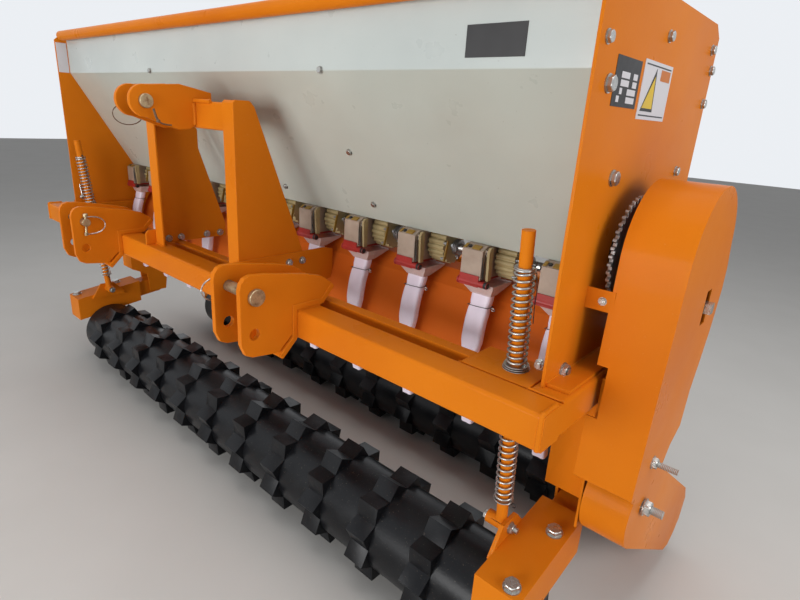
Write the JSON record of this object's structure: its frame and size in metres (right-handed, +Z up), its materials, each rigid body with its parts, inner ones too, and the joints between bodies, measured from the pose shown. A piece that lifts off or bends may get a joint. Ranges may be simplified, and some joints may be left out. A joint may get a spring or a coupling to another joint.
{
  "type": "mounted seed drill",
  "caption": "Tractor-mounted seed drill with a long steel hopper, metering units and seed tubes between two lugged rollers, and a chain drive under covers at one end.",
  "frame": {"origin": "middle of the machine's outline on the ground under the rollers", "axes": "+X along the rollers towards the end with the drive covers, +Y to the rear, away from the tractor hitch, +Z up"},
  "size_m": [2.143, 0.8849, 1.202],
  "materials": {
    "orange_paint": "glossy orange paint",
    "stainless": "satin stainless sheet under a pale film",
    "zinc": "zinc plated",
    "steel": "oiled steel",
    "chain": "dark oiled steel",
    "black_paint": "glossy black paint",
    "grey_plastic": "satin moulded plastic",
    "red_paint": "dull red paint",
    "cream_plastic": "satin moulded plastic",
    "clear_plastic": "milky plastic",
    "pale_plastic": "soft pale plastic"
  },
  "bodies": {
    "frame": {"front_bar": "orange_paint", "rear_bar": "orange_paint", "side_rails": "orange_paint", "rod_brackets": "orange_paint", "end_plates": "orange_paint", "hopper": "stainless", "lid_hinge": "orange_paint", "mast_uprights": "orange_paint", "mast_tube": "orange_paint", "mast_feet": "orange_paint", "top_link_plates": "orange_paint", "top_link_pin": "zinc", "clevises": "orange_paint", "lower_pins": "zinc", "tube_guard": "orange_paint", "deflector": "orange_paint", "front_arms": "orange_paint", "arm_pivots": "orange_paint", "front_bearings": "black_paint", "rear_hangers": "orange_paint", "rear_bearings": "black_paint", "spring_rods": "orange_paint", "springs": "zinc", "seed_cups": "grey_plastic", "seed_gates": "red_paint", "funnels": "clear_plastic", "seed_tubes": "pale_plastic", "shaft_bearings": "black_paint", "drive_case": "orange_paint", "drive_plate": "orange_paint", "mid_stud": "zinc", "lower_cover": "orange_paint", "chains": "chain"},
    "lid": {"lid": "orange_paint"},
    "front_roller_body": {"front_roller": "black_paint", "front_axle": "black_paint"},
    "rear_roller_body": {"rear_roller": "black_paint", "rear_axle": "black_paint", "axle_sprocket": "steel"},
    "mid_wheels": {"mid_sprockets": "steel"},
    "top_wheels": {"top_sprockets": "steel"},
    "metering_shaft": {"seed_shaft": "zinc", "fluted_rollers": "cream_plastic", "shaft_sprocket": "steel"}
  },
  "joints": [
    {"name": "lid_hinge_joint", "type": "hinge", "parent": "frame", "child": "lid", "pos_m": [-0.0665, 0.2955, 1.192], "axis": [-1, 0, 0], "range_deg": [0, 100]},
    {"name": "front_roller_spin", "type": "hinge", "parent": "frame", "child": "front_roller_body", "pos_m": [-0.0665, -0.1795, 0.123], "axis": [1, 0, 0], "continuous": true},
    {"name": "rear_roller_spin", "type": "hinge", "parent": "frame", "child": "rear_roller_body", "pos_m": [-0.0665, 0.3195, 0.123], "axis": [1, 0, 0], "continuous": true},
    {"name": "mid_wheels_spin", "type": "hinge", "parent": "frame", "child": "mid_wheels", "pos_m": [-0.0665, -0.0535, 0.376], "axis": [1, 0, 0], "continuous": true},
    {"name": "top_wheels_spin", "type": "hinge", "parent": "frame", "child": "top_wheels", "pos_m": [-0.0665, -0.0405, 0.808], "axis": [1, 0, 0], "continuous": true},
    {"name": "metering_shaft_spin", "type": "hinge", "parent": "frame", "child": "metering_shaft", "pos_m": [-0.0665, 0.0355, 0.727], "axis": [1, 0, 0], "continuous": true}
  ],
  "couplings": [
    {"joint": "mid_wheels_spin", "follows": "rear_roller_spin", "ratio": 1.1905},
    {"joint": "top_wheels_spin", "follows": "rear_roller_spin", "ratio": 0.82418},
    {"joint": "metering_shaft_spin", "follows": "rear_roller_spin", "ratio": 0.5994}
  ]
}
